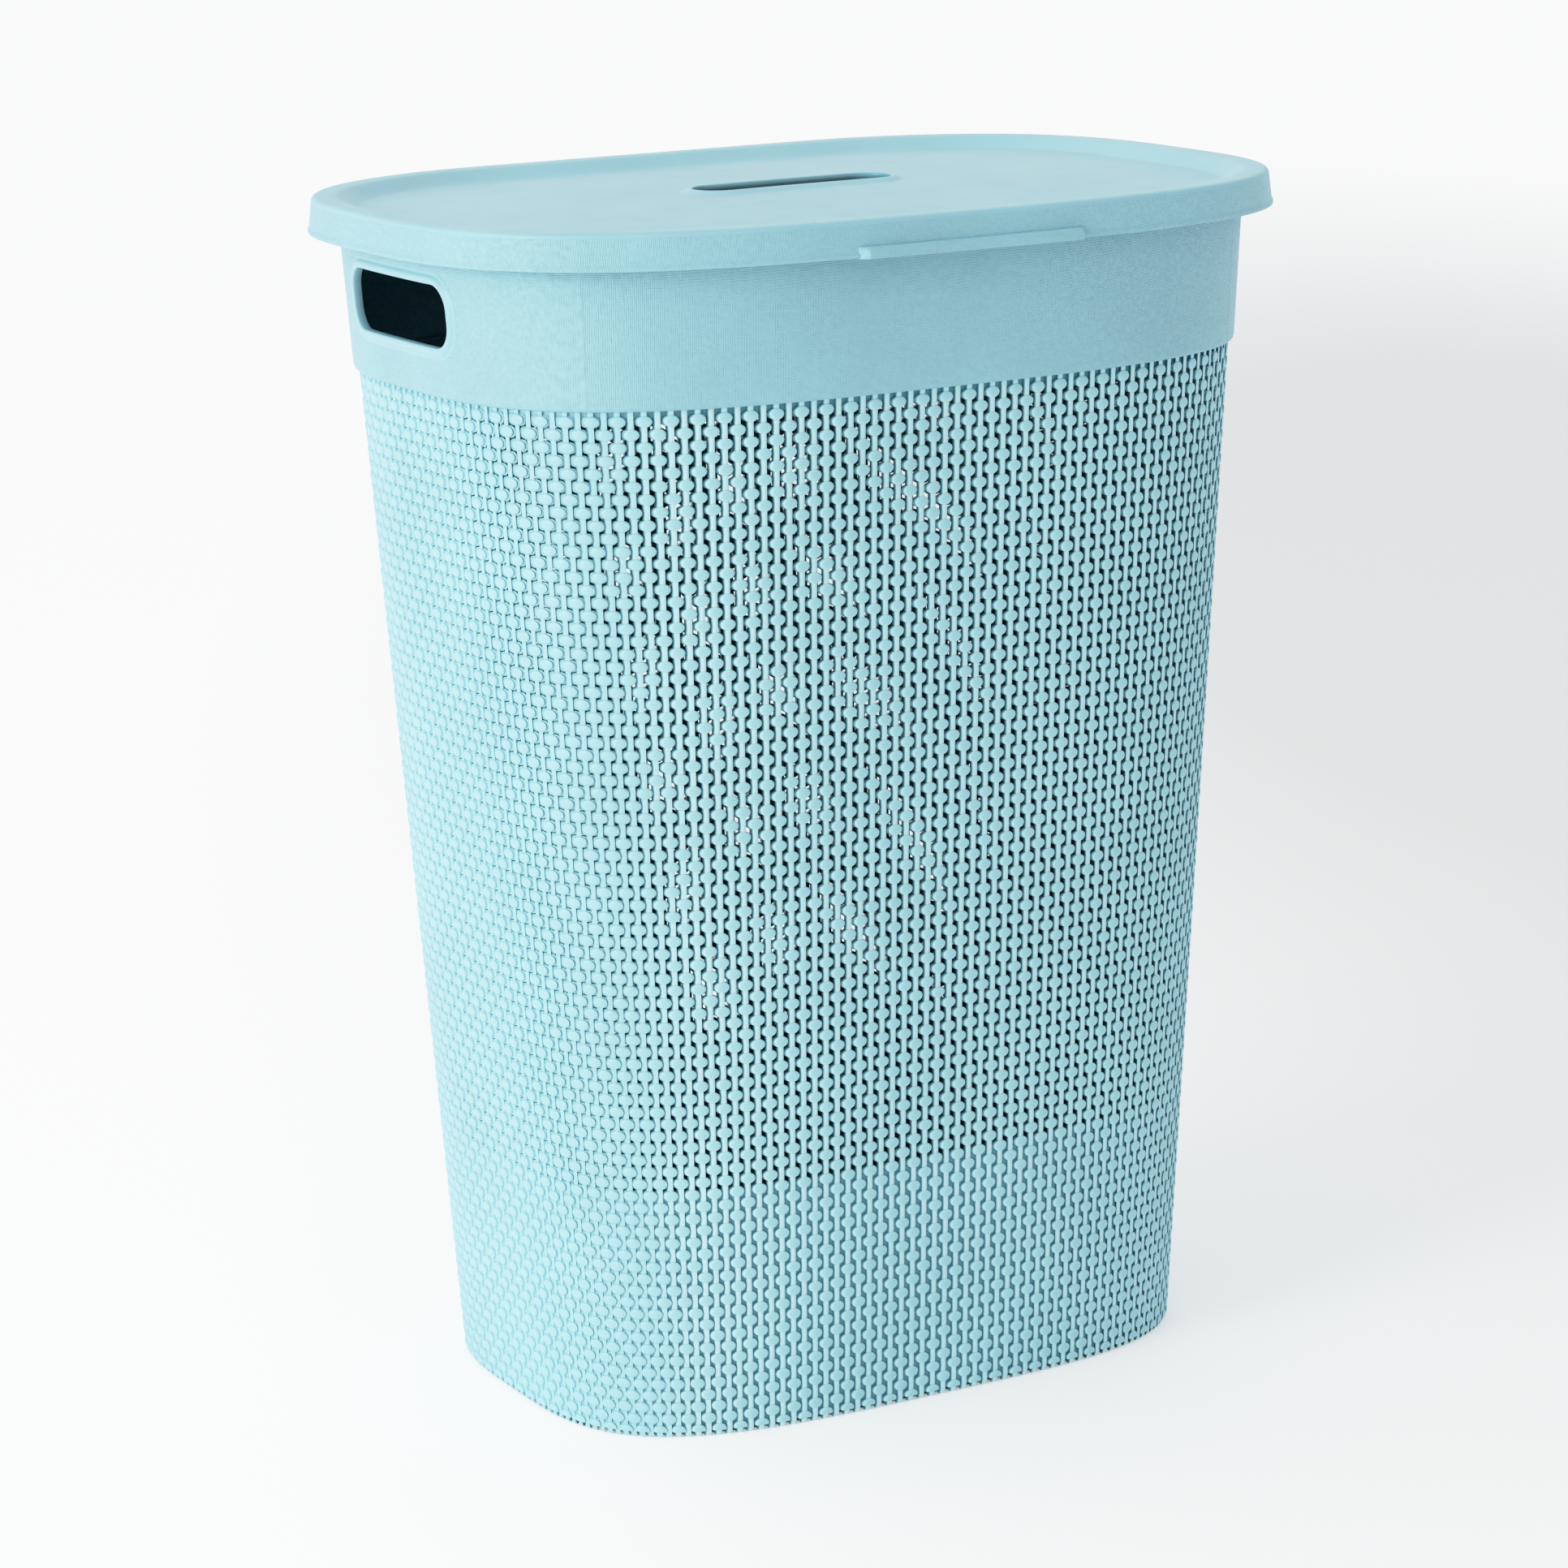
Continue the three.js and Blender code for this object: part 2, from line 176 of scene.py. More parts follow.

# Plastics: their tones, and painted shade as tints for inner faces, for the slot's inner walls and for each
# shade of the relief
TONE = (0.270, 0.520, 0.600)
# The weave's tone is lighter than the plastic's own as painted highlight: the strands' crests keep it, and
# the painted shade tints darken the rest of the relief
WEAVE_LIT_TONE = (0.450, 0.730, 0.790)
INSIDE_PAINTED_SHADE = (0.20, 0.38, 0.42)
INSIDE_SHADE_FADE = (-0.06, -0.01)
SLOT_PAINTED_SHADE = (0.36, 0.66, 0.73)
# Painted shade: these tints darken each point of the relief by its shade, deepest in the hollows and at the
# base
PAINTED_SHADE_TINTS = [
    (0.0, (0.06, 0.17, 0.20)),
    (0.35, (0.25, 0.45, 0.51)),
    (0.60, (0.53, 0.68, 0.73)),
    (0.85, (0.70, 0.82, 0.86)),
    (1.0, (1, 1, 1)),
]
REFRACTION = 1.49
TONE_DRIFT = (0.965, 1.03)
GLOSS_DRIFT = 0.035
GRAIN = 0.06
LINEN_PITCH = 0.85
LINEN_FULLNESS = (0.25, 1.0)
NOISE_RANGE = (0.3, 0.7)
SHARP_ANGLE = 40.0

# The floor, in metres: its painted glow, light that the floor gives off itself, fades into a dim oval behind
# the hamper, and to a share of itself in front
FLOOR_SIZE = 60
FLOOR_COLOUR = (0.78, 0.78, 0.775, 1)
FLOOR_GLOW = 0.52
DIM_CENTRE = (1.70, 1.51, 0)
DIM_SIZE = (1.0, 2.86, 1.0)
DIM_TURN = math.radians(-29)
DIM_FADE = (0.45, 1.3)
FRONT_FADE = (-1.06, -0.87)
FRONT_SHARE = 0.5

# The sky and the key light
SKY_TINT = (0.975, 1.0, 1.025, 1)
SKY_STRENGTH, SKY_DIMMEST = 1.19, 0.35
SKY_DIM_SIDE = (0.65, -0.65, -0.35)
SKY_FADE = (-0.2, 0.8)
LIGHT_AIM = Vector((0, 0, 0.3))

# How bright tones roll off, as [before, after] on the curve that all three channels share
COMBINED_CURVE = 3
GRADE_WHITE = 1.5
GRADE = [
    (0.0, 0.0), (0.15, 0.15), (0.35, 0.35), (0.55, 0.55), (0.73, 0.69), (0.95, 0.81), (1.2, 0.91),
    (GRADE_WHITE, 0.975),
]

# The camera, in radians and metres, with its lens and sensor in millimetres
CAMERA_AZIMUTH = -0.5095
CAMERA_ELEVATION = 0.2288
CAMERA_ROLL = -0.0219
CAMERA_DISTANCE = 2.5383
CAMERA_AIM = (-0.004425, -0.003223)
CAMERA_LENS = 111.47
CAMERA_SENSOR = 36
CAMERA_REACH = 200


# ---- Outlines ----

def signed_power(value, power):
    """The value's size to a power, with the value's own sign."""
    return np.sign(value) * np.abs(value) ** power


def oval_at(height):
    """Half length, half depth and power of the tub's outline at a height."""
    share = np.asarray(height, float)[..., None] / SHOULDER_HEIGHT
    oval = FOOT_OVAL + (SHOULDER_OVAL - FOOT_OVAL) * share
    return oval[..., 0], oval[..., 1], oval[..., 2]


def oval_normal(x, y, oval):
    """The outward normal of an outline at a point on it."""
    half_length, half_depth, power = oval
    nx = signed_power(x / half_length, power - 1) / half_length
    ny = signed_power(y / half_depth, power - 1) / half_depth
    size = np.hypot(nx, ny)
    return nx / size, ny / size


def shoulder_points(columns):
    """Evenly spaced points on the shoulder's outline, counted from the front centre to the right."""
    half_length, half_depth, power = SHOULDER_OVAL
    angle = np.linspace(-0.5 * np.pi, 1.5 * np.pi, OUTLINE_STEPS)
    x = half_length * signed_power(np.cos(angle), 2 / power)
    y = half_depth * signed_power(np.sin(angle), 2 / power)
    walked = np.concatenate([[0], np.cumsum(np.hypot(np.diff(x), np.diff(y)))])
    wanted = np.asarray(columns, float) / COLUMNS * walked[-1]
    return np.interp(wanted, walked, x), np.interp(wanted, walked, y)


def wall_table():
    """The outline's points and normals for every eighth of a column and every few millimetres of height.
    A column runs down from its point on the shoulder, and leans in as the tub tapers."""
    top_x, top_y = shoulder_points(np.arange(COLUMNS * TABLE_STEPS) / TABLE_STEPS)
    nx, ny = oval_normal(top_x, top_y, SHOULDER_OVAL)
    lean_x = COLUMN_LEAN * nx + COLUMN_SPREAD * top_x
    lean_y = COLUMN_LEAN * ny + COLUMN_SPREAD * top_y
    heights = TABLE_LOW + TABLE_HEIGHT_STEP * np.arange(TABLE_LEVELS)
    half_length, half_depth, power = (value[:, None] for value in oval_at(heights))
    inward = np.zeros((TABLE_LEVELS, len(top_x)))
    for _ in range(TABLE_ROUNDS):
        x = (top_x - inward * lean_x) / half_length
        y = (top_y - inward * lean_y) / half_depth
        outside = np.abs(x) ** power + np.abs(y) ** power - 1
        along = signed_power(x, power - 1) * lean_x / half_length
        across = signed_power(y, power - 1) * lean_y / half_depth
        slope = power * (along + across)
        inward += outside / slope
    x = top_x - inward * lean_x
    y = top_y - inward * lean_y
    nx, ny = oval_normal(x, y, (half_length, half_depth, power))
    return np.stack([x, y, nx, ny], -1)


TABLE = wall_table()


def wall_at(column, height):
    """x, y and the outward normal of the outline at a column and a height, read from the table."""
    column, height = np.broadcast_arrays(column, height)
    along = np.mod(column, COLUMNS) * TABLE_STEPS
    up = (height - TABLE_LOW) / TABLE_HEIGHT_STEP
    i, j = np.floor(up).astype(int), np.floor(along).astype(int)
    up, along = (up - i)[..., None], (along - j)[..., None]
    i, j = np.clip(i, 0, TABLE_LEVELS - 2), j % TABLE.shape[1]
    k = (j + 1) % TABLE.shape[1]
    low = TABLE[i, j] * (1 - along) + TABLE[i, k] * along
    high = TABLE[i + 1, j] * (1 - along) + TABLE[i + 1, k] * along
    found = low * (1 - up) + high * up
    return found[..., 0], found[..., 1], found[..., 2], found[..., 3]


def tub_point(column, height, offset):
    """A point of a smooth tub surface, moved outwards from the outline."""
    x, y, nx, ny = wall_at(column, height)
    return np.stack(np.broadcast_arrays(x + nx * offset, y + ny * offset, height), -1)


def smooth_minimum(value, limit, reach):
    """The lesser of two values, rounded off where they cross."""
    mix = np.clip(0.5 + 0.5 * (limit - value) / reach, 0, 1)
    return limit * (1 - mix) + value * mix - reach * mix * (1 - mix)


def lid_point(column, offset, height, share=1.0):
    """A point of the lid. Its outline runs round the shoulder, cut straight along the back."""
    x, y, nx, ny = wall_at(column, SHOULDER_HEIGHT)
    x = x + nx * (LID_OVERHANG + offset)
    y = smooth_minimum(y + ny * (LID_OVERHANG + offset), LID_BACK_EDGE + offset, LID_BACK_ROUNDING)
    return np.stack(np.broadcast_arrays(x * share, y * share, height), -1)


# ---- Meshes ----

def grid_triangles(rows, columns, close_rows, close_columns):
    """Triangles of a grid of points numbered row by row, two for each cell."""
    row = np.arange(rows if close_rows else rows - 1)[:, None]
    column = np.arange(columns if close_columns else columns - 1)
    next_row, next_column = (row + 1) % rows, (column + 1) % columns
    first = (row * columns + column).ravel()
    second = (row * columns + next_column).ravel()
    third = (next_row * columns + next_column).ravel()
    fourth = (next_row * columns + column).ravel()
    return np.concatenate([np.stack([first, second, third], 1), np.stack([first, third, fourth], 1)])


def stack_triangles(rings, segments):
    """Triangles of a closed skin: a centre point, rings of points, and a last centre point."""
    ring = 1 + np.arange(segments)
    following = 1 + (np.arange(segments) + 1) % segments
    last = 1 + rings * segments
    to_last_ring = (rings - 1) * segments
    start = np.stack([np.zeros(segments, int), following, ring], 1)
    end = np.stack([np.full(segments, last), ring + to_last_ring, following + to_last_ring], 1)
    return np.concatenate([start, 1 + grid_triangles(rings, segments, False, True), end])


def facing_out(points, triangles):
    """The triangles, turned over if their closed surface faces inwards."""
    a, b, c = (points[triangles[:, i]] for i in range(3))
    volume = np.einsum("ij,ij->i", a, np.cross(b, c)).sum()
    return triangles if volume > 0 else triangles[:, ::-1]


def mesh_piece(name, points, triangles, material=None, sharp_angle=SHARP_ANGLE, shades=None):
    """A closed mesh. shades is the painted shade of each point of the knitted relief, by how open to the
    light it is.
    """
    points = points.reshape(-1, 3)
    triangles = facing_out(points, triangles)
    mesh = bpy.data.meshes.new(name)
    mesh.vertices.add(len(points))
    mesh.vertices.foreach_set("co", (points * MM + AXIS).astype(np.float32).ravel())
    mesh.loops.add(triangles.size)
    mesh.loops.foreach_set("vertex_index", triangles.astype(np.int32).ravel())
    mesh.polygons.add(len(triangles))
    mesh.polygons.foreach_set("loop_start", np.arange(0, triangles.size, 3, dtype=np.int32))
    mesh.update(calc_edges=True)
    mesh.validate()
    if shades is not None:
        mesh.attributes.new("shade", "FLOAT", "POINT").data.foreach_set("value", shades.astype(np.float32))
    piece = bpy.data.objects.new(name, mesh)
    bpy.context.scene.collection.objects.link(piece)
    if material:
        mesh.materials.append(material)
    smooth(mesh, sharp_angle)
    return piece


def smooth(mesh, sharp_angle):
    """Shades a mesh smooth but for its sharp edges."""
    mesh.shade_smooth()
    mesh.set_sharp_from_angle(angle=math.radians(sharp_angle))


def hoop(name, surface, profile, columns, material, shades=None):
    """Carries a closed profile of [offset, height] points round an outline."""
    offset, height = np.array(profile, float).T[..., None]
    points = surface(columns[None, :], height, offset)
    triangles = grid_triangles(len(profile), len(columns), True, True)
    return mesh_piece(name, points, triangles, material, shades=shades)


def cut_away(piece, cutter):
    """Takes the cutter out of the piece."""
    modifier = piece.modifiers.new("cut", "BOOLEAN")
    modifier.operation = "DIFFERENCE"
    modifier.solver = "EXACT"
    modifier.object = cutter
    evaluated = piece.evaluated_get(bpy.context.evaluated_depsgraph_get())
    mesh = bpy.data.meshes.new_from_object(evaluated)
    piece.modifiers.clear()
    piece.data = mesh
    bpy.data.objects.remove(cutter)
    smooth(mesh, SHARP_ANGLE)


def rounded_path(length, width, corner, corner_steps, side_steps):
    """A function that gives the points of a rounded rectangle grown by any amount, always as many."""
    angles, centres = [], []
    for quarter, (sx, sy) in enumerate([(1, 1), (-1, 1), (-1, -1), (1, -1)]):
        middle = np.array([sx * (length / 2 - corner), sy * (width / 2 - corner)])
        after = [(-1, 1), (-1, -1), (1, -1), (1, 1)][quarter]
        following = np.array([after[0] * (length / 2 - corner), after[1] * (width / 2 - corner)])
        turn = np.linspace(0, 0.5 * np.pi, corner_steps + 1) + quarter * 0.5 * np.pi
        angles.append(turn)
        centres.append(np.repeat(middle[None], len(turn), 0))
        straight = np.linalg.norm(following - middle)
        steps = max(1, round(side_steps * straight / length)) if straight > 1e-6 else 0
        share = (np.arange(1, steps) / steps)[:, None] if steps else np.zeros((0, 1))
        angles.append(np.full(len(share), turn[-1]))
        centres.append(middle + (following - middle) * share)
    angle, centre = np.concatenate(angles), np.concatenate(centres)
    spoke = np.stack([np.cos(angle), np.sin(angle)], -1)
    return lambda grow: centre + spoke * (corner + grow)


def prism(name, outline, place):
    """A block between two outlines, used for cutting. place gives the points of an outline at each end."""
    ends = [place(outline, 0), place(outline, 1)]
    middle = [end.mean(0, keepdims=True) for end in ends]
    points = np.concatenate([middle[0], ends[0], ends[1], middle[1]])
    return mesh_piece(name, points, stack_triangles(2, len(outline)))


# ---- Materials ----

def feed(tree, node, values):
    """Gives a node's inputs, in order, their constants or other nodes' results."""
    for socket, value in zip(node.inputs, values):
        if isinstance(value, bpy.types.NodeSocket):
            tree.links.new(value, socket)
        else:
            socket.default_value = value


def maths(tree, operation, *values):
    """One step of arithmetic on numbers."""
    node = tree.nodes.new("ShaderNodeMath")
    node.operation = operation
    feed(tree, node, values)
    return node.outputs["Value"]


def vector_maths(tree, operation, *values, result="Vector"):
    """One step of arithmetic on vectors. result names the output that is wanted."""
    node = tree.nodes.new("ShaderNodeVectorMath")
    node.operation = operation
    feed(tree, node, values)
    return node.outputs[result]


def split(tree, vector):
    """A vector's parts, by the names X, Y and Z."""
    node = tree.nodes.new("ShaderNodeSeparateXYZ")
    tree.links.new(vector, node.inputs["Vector"])
    return node.outputs


def noise(tree, place, scale, detail):
    """Smooth noise at a place, from 0 to 1."""
    node = tree.nodes.new("ShaderNodeTexNoise")
    node.inputs["Scale"].default_value = scale
    node.inputs["Detail"].default_value = detail
    tree.links.new(place, node.inputs["Vector"])
    return node.outputs["Fac"]


def spread(tree, value, before, after):
    """Carries a value from one range over to another, and holds it inside."""
    node = tree.nodes.new("ShaderNodeMapRange")
    node.inputs["From Min"].default_value, node.inputs["From Max"].default_value = before
    node.inputs["To Min"].default_value, node.inputs["To Max"].default_value = after
    tree.links.new(value, node.inputs["Value"])
    return node.outputs["Result"]


def ramp(tree, value, stops):
    """The colour at a value, between stops of [position, colour]."""
    node = tree.nodes.new("ShaderNodeValToRGB")
    while len(node.color_ramp.elements) < len(stops):
        node.color_ramp.elements.new(1.0)
    for element, (position, colour) in zip(node.color_ramp.elements, stops):
        element.position = position
        element.color = [*colour, 1]
    tree.links.new(value, node.inputs["Fac"])
    return node.outputs["Color"]


def plastic_colour(tree, place, normal, tone, inside, knitted):
    """A tone that drifts a little. inside is painted shade: it darkens the faces turned to the middle, where
    little light reaches. knitted paints shade on each point of the relief by how open to the light it is."""
    deep, pale = ([min(1, channel * drift) for channel in tone] for drift in TONE_DRIFT)
    colour = ramp(tree, noise(tree, place, scale=14.0, detail=3.0), [(0.35, deep), (0.65, pale)])
    # Painted shade: faces turned to the tub's middle are darkened, as little light reaches them
    if inside:
        flat = vector_maths(tree, "MULTIPLY", place, (1, 1, 0))
        outward = vector_maths(tree, "DOT_PRODUCT", flat, normal, result="Value")
        out = spread(tree, outward, INSIDE_SHADE_FADE, (0.0, 1.0))
        colour = vector_maths(tree, "MULTIPLY", colour, ramp(tree, out, [(0.0, inside), (1.0, (1, 1, 1))]))
    # Painted shade: each point of the relief is darkened by its shade attribute
    if knitted:
        shade = tree.nodes.new("ShaderNodeAttribute")
        shade.attribute_name = "shade"
        colour = vector_maths(tree, "MULTIPLY", colour, ramp(tree, shade.outputs["Fac"], PAINTED_SHADE_TINTS))
    return colour


def linen_height(tree, place, normal):
    """Threads that run up and across, uneven as in cloth."""
    at, facing = split(tree, place), split(tree, normal)

    def threads(coordinate):
        return maths(tree, "SINE", maths(tree, "MULTIPLY", coordinate, 2 * math.pi / (LINEN_PITCH * MM)))

    upright = maths(tree, "MULTIPLY", threads(at["X"]), maths(tree, "ABSOLUTE", facing["Y"]))
    sideways = maths(tree, "MULTIPLY", threads(at["Y"]), maths(tree, "ABSOLUTE", facing["X"]))
    weave = maths(tree, "ADD", maths(tree, "ADD", upright, sideways), threads(at["Z"]))
    uneven = spread(tree, noise(tree, place, scale=420.0, detail=2.0), NOISE_RANGE, LINEN_FULLNESS)
    return maths(tree, "MULTIPLY", weave, uneven)


def plastic(name, tone, roughness, linen=0.0, inside=None, knitted=False):
    """Satin moulded polypropylene. Its tone and gloss drift a little, its skin has a fine grain, and linen
    is how deep its linen texture is."""
    material = bpy.data.materials.new(name)
    material.use_nodes = True
    tree = material.node_tree
    shader = tree.nodes["Principled BSDF"]
    place = tree.nodes.new("ShaderNodeTexCoord").outputs["Object"]
    normal = tree.nodes.new("ShaderNodeNewGeometry").outputs["Normal"]
    tree.links.new(plastic_colour(tree, place, normal, tone, inside, knitted), shader.inputs["Base Color"])
    gloss_range = (roughness - GLOSS_DRIFT, roughness + GLOSS_DRIFT)
    gloss = spread(tree, noise(tree, place, scale=55.0, detail=4.0), NOISE_RANGE, gloss_range)
    tree.links.new(gloss, shader.inputs["Roughness"])
    shader.inputs["IOR"].default_value = REFRACTION

    height = maths(tree, "MULTIPLY", noise(tree, place, scale=1400.0, detail=2.0), GRAIN)
    if linen:
        height = maths(tree, "ADD", height, maths(tree, "MULTIPLY", linen_height(tree, place, normal), linen))
    bump = tree.nodes.new("ShaderNodeBump")
    bump.inputs["Strength"].default_value = 0.5
    bump.inputs["Distance"].default_value = 0.0005
    tree.links.new(height, bump.inputs["Height"])
    tree.links.new(bump.outputs["Normal"], shader.inputs["Normal"])
    return material


# The weave carries painted highlight on its crests and painted shade in its hollows and on faces turned to
# the middle
weave_plastic = plastic("weave_plastic", WEAVE_LIT_TONE, roughness=0.40, inside=INSIDE_PAINTED_SHADE, knitted=True)
collar_plastic = plastic("collar_plastic", TONE, roughness=0.46, linen=0.55, inside=INSIDE_PAINTED_SHADE)
smooth_plastic = plastic("smooth_plastic", TONE, roughness=0.40, inside=INSIDE_PAINTED_SHADE)
# The slot plastic carries a lighter painted shade on the slot's inner walls, which face the tub's middle
slot_plastic = plastic("slot_plastic", TONE, roughness=0.40, inside=SLOT_PAINTED_SHADE)
frame_plastic = plastic("frame_plastic", TONE, roughness=0.40)
lid_plastic = plastic("lid_plastic", TONE, roughness=0.42)
skirt_plastic = plastic("skirt_plastic", TONE, roughness=0.44, linen=0.50)


def finish_piece(piece, body, slot, *nodes):
    """Gives a piece its body and hides the CAD nodes that it stands in for. slot is not used."""
    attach(piece, body)
    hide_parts(*nodes)


# ---- The knitted wall ----

def foot_inset(height):
    """How far the wall turns in at a height near the floor."""
    low = np.clip(1 - np.asarray(height, float) / FOOT_CURVE, 0, 1)
    return -FOOT_INSET * low ** 2


def facing_at(column):
    """The outline's normal at a column, and how far it turns away from the front or back."""
    x, y = shoulder_points(np.mod(column, COLUMNS))
    nx, ny = oval_normal(x, y, SHOULDER_OVAL)
    return nx, ny, np.arctan2(np.abs(nx), np.abs(ny))


def slide_direction(column):
    """The relief is drawn along Y over the front and back, and swings round to X over the two ends."""
    nx, ny, turn = facing_at(column)
    swing = turn * np.clip((turn - SWING_START) / (0.5 * np.pi - SWING_START), 0, 1) ** SWING_POWER
    return np.sign(nx) * np.sin(swing), np.sign(ny) * np.cos(swing)


def eased(value, low, high):
    """0 below a range and 1 above it, with a smooth rise between."""
    share = np.clip((value - low) / (high - low), 0, 1)
    return share * share * (3 - 2 * share)


def closeness(column):
    """0 over the front and back, where the beads stand apart, to 1 over the ends, where they nearly touch."""
    return eased(facing_at(column)[2], CLOSE_FROM, CLOSE_TO)


def evened(shade, column):
    """The painted shade of a point, evened out towards the ends where the hollows lie open to the side light.
    Most of that light comes from the left, so the left end is evened more. Points at DARK_SHADE or below are
    left as they are."""
    nx, _, turn = facing_at(column)
    share = np.where(nx < 0, LEFT_EVENNESS, RIGHT_EVENNESS) * eased(turn, SHADE_FROM, SHADE_TO)
    return shade + (EVEN_SHADE - shade) * share * (shade > DARK_SHADE)


def relief_point(column, height, level, slide):
    """A point of the relief at a level above the wall's inner face."""
    x, y, nx, ny = wall_at(column, height)
    inner = foot_inset(height) - RELIEF
    lift = level / (nx * slide[0] + ny * slide[1])
    px = x + nx * inner + slide[0] * lift
    py = y + ny * inner + slide[1] * lift
    return np.stack(np.broadcast_arrays(px, py, height), -1)


def column_pitch(column, height):
    """Distance between neighbouring columns."""
    ax, ay, _, _ = wall_at(column - 0.5, height)
    bx, by, _, _ = wall_at(column + 0.5, height)
    return np.hypot(bx - ax, by - ay)


def bead_shape(close):
    """Points (across, up, level, painted shade) of one bead: a wide base with an oval dome on it. The base is
    oval where the beads stand apart, and nearly square where they close up."""
    angle = np.arange(BEAD_SEGMENTS) * 2 * np.pi / BEAD_SEGMENTS
    base = 2 / (2 + 1.2 * close)
    # From the base up, as (power, half width, half height, level, painted shade)
    rings = [
        (base, 4.65 + 0.8 * close, 2.8 + 0.4 * close, 0.0, 0.0),
        (base, 4.6 + 0.8 * close, 2.76 + 0.4 * close, 1.65 + 0.4 * close, 0.3),
        (1.0, 3.85 + 0.4 * close, 2.95, 1.85 + 0.4 * close, 0.38),
        (1.0, 3.75 + 0.35 * close, 2.9, 2.8, 0.88),
        (1.0, 3.45 + 0.35 * close, 2.62, 3.2, 0.94),
        (1.0, 2.4 + 0.25 * close, 1.8, 3.44, 0.86),
    ]
    points = [[0, 0, 0, 0]]
    for power, half_width, half_height, level, shade in rings:
        across = half_width * signed_power(np.cos(angle), power)
        up = half_height * signed_power(np.sin(angle), power)
        points += [[x, z, level, shade] for x, z in zip(across, up)]
    points.append([0, 0, RELIEF, 0.8])
    return np.array(points), stack_triangles(len(rings), BEAD_SEGMENTS)


def beads(column):
    """Points, shades and triangles of all the beads of one column."""
    centre = column + 0.5
    shape, triangles = bead_shape(closeness(centre))
    heights = np.arange(FIRST_ROW[column % 2], LAST_ROW, -ROW_PITCH)
    across, up, level, shade = shape.T
    pitch = column_pitch(centre, heights)[:, None]
    up = np.maximum(heights[:, None] + up, BEAD_LOW)
    points = relief_point(centre + across / pitch, up, level, slide_direction(centre))
    count = len(heights)
    triangles = triangles[None] + (np.arange(count) * len(shape))[:, None, None]
    return points.reshape(-1, 3), np.tile(evened(shade, centre), count), triangles.reshape(-1, 3)


def strand(column):
    """Points, shades and triangles of the strand that joins one column's beads."""
    across, level, shade = np.array(STRAND).T
    heights = np.array(STRAND_HEIGHTS)[:, None]
    centre = column + 0.5
    pitch = column_pitch(centre, heights)
    points = relief_point(centre + across / pitch, heights, level, slide_direction(centre)).reshape(-1, 3)
    ends = [points[: len(across)].mean(0), points[-len(across):].mean(0)]
    points = np.concatenate([[ends[0]], points, [ends[1]]])
    end_shade = [STRAND_END_SHADE]
    shades = np.concatenate([end_shade, np.tile(evened(shade, centre), len(heights)), end_shade])
    return points, shades, stack_triangles(len(heights), len(across))


def joined(parts):
    """Several lists of points, shades and triangles as one."""
    points, shades, triangles = zip(*parts)
    starts = np.cumsum([0] + [len(part) for part in points[:-1]])
    shifted = [part + start for part, start in zip(triangles, starts)]
    return np.concatenate(points), np.concatenate(shades), np.concatenate(shifted)


def weave_sector(sector):
    """One part of the knitted wall: whole columns of beads with their strands."""
    width = COLUMNS // WEAVE_SECTORS
    columns = range(sector * width, (sector + 1) * width)
    points, shades, triangles = joined([shape(column) for column in columns for shape in (strand, beads)])
    name = f"knitted_wall_{sector + 1}"
    return mesh_piece(name, points, triangles, weave_plastic, WEAVE_SHARP_ANGLE, shades)


def sheet(name, foot, face, back):
    """A closed sheet behind the relief, given by its foot, its outer face and its back. It lies further out
    where the beads nearly touch. Its foot is painted black as shade, and its face carries painted shade."""
    columns = np.arange(0, COLUMNS, SHEET_STEP)
    rise = SHEET_RISE * closeness(columns)

    def surface(column, height, offset):
        return tub_point(column, height, offset + np.where(offset > SHEET_BACK, rise, 0.0))

    seen = evened(np.full(len(columns), SHEET_SHADE), columns)
    shades = np.concatenate([np.zeros(len(foot) * len(columns)), np.tile(seen, len(face + back))])
    return hoop(name, surface, foot + face + back, columns, weave_plastic, shades)


def backing_sheet():
    """The sheet that closes the lower wall, with the ledge that carries the floor."""
    foot_back = SHEET_BACK - 2.0
    foot = [(-LEDGE_DEPTH, 0.0), (foot_back, 0.0), (foot_back, 2.4), (SHEET_BACK, 2.8)]
    face = [(SHEET_FRONT - 0.2, 3.1), (SHEET_FRONT, 3.8), (SHEET_FRONT, 40.0), (SHEET_FRONT, 80.0)]
    face += [(SHEET_FRONT, SOLID_TOP - 0.6), (SHEET_FRONT - 0.5, SOLID_TOP)]
    back = [(SHEET_BACK, SOLID_TOP), (SHEET_BACK, 80.0), (SHEET_BACK, 40.0), (SHEET_BACK, LEDGE_TOP)]
    back.append((-LEDGE_DEPTH, LEDGE_TOP))
    return sheet("backing_sheet", foot, face, back)


def collar_hem():
    """The narrow sheet that closes the wall just below the collar."""
    face = [(HEM_FRONT, HEM_BOTTOM + 0.5), (HEM_FRONT, HEM_TOP)]
    return sheet("collar_hem", [(SHEET_BACK, HEM_BOTTOM)], face, [(SHEET_BACK, HEM_TOP)])


# ---- The collar ----

def parting_columns():
    """The four columns where the mould's sides met."""
    columns = np.arange(0, COLUMNS, PARTING_STEP)
    x, _ = shoulder_points(columns)
    outside = np.abs(x) > PARTING_X
    return columns[np.flatnonzero(outside != np.roll(outside, 1))]


def collar_columns():
    """Even steps round the tub, with three more at each parting line."""
    steps = np.arange(0, COLUMNS, COLUMN_STEP)
    shifts = (-SEAM_HALF_WIDTH, 0.0, SEAM_HALF_WIDTH)
    seams = np.concatenate([parting_columns() + shift for shift in shifts])
    return np.sort(np.concatenate([steps, seams]))


